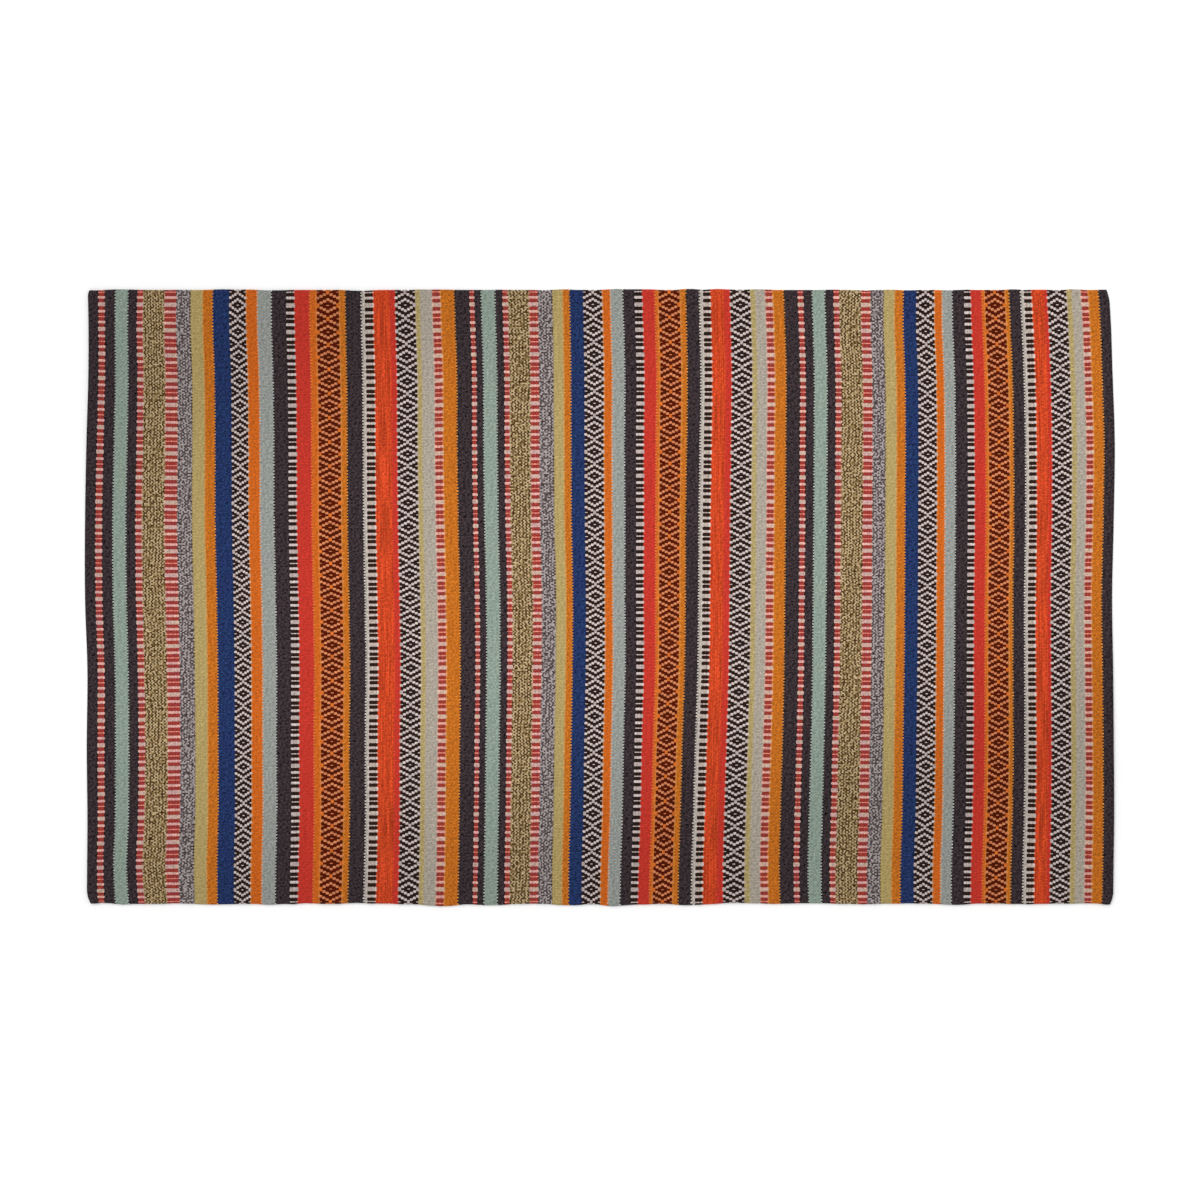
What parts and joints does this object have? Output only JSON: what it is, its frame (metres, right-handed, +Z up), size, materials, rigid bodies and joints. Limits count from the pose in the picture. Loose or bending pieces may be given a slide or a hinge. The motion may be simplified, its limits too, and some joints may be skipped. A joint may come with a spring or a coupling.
{
  "type": "flat-woven wool rug",
  "caption": "Rectangular flat-woven wool rug, lying flat, with weft stripes of many colours across its width and bands of small diamonds and dashes between them.",
  "frame": {"origin": "middle of the underside, on the surface that the rug lies on", "axes": "+X along the length, +Y across the width from selvedge to selvedge, +Z up"},
  "size_m": [1.528, 0.916, 0.0045],
  "materials": {
    "wool": "matt weft-faced wool weave, striped"
  },
  "bodies": {
    "root": {"rug": "wool"}
  },
  "joints": []
}
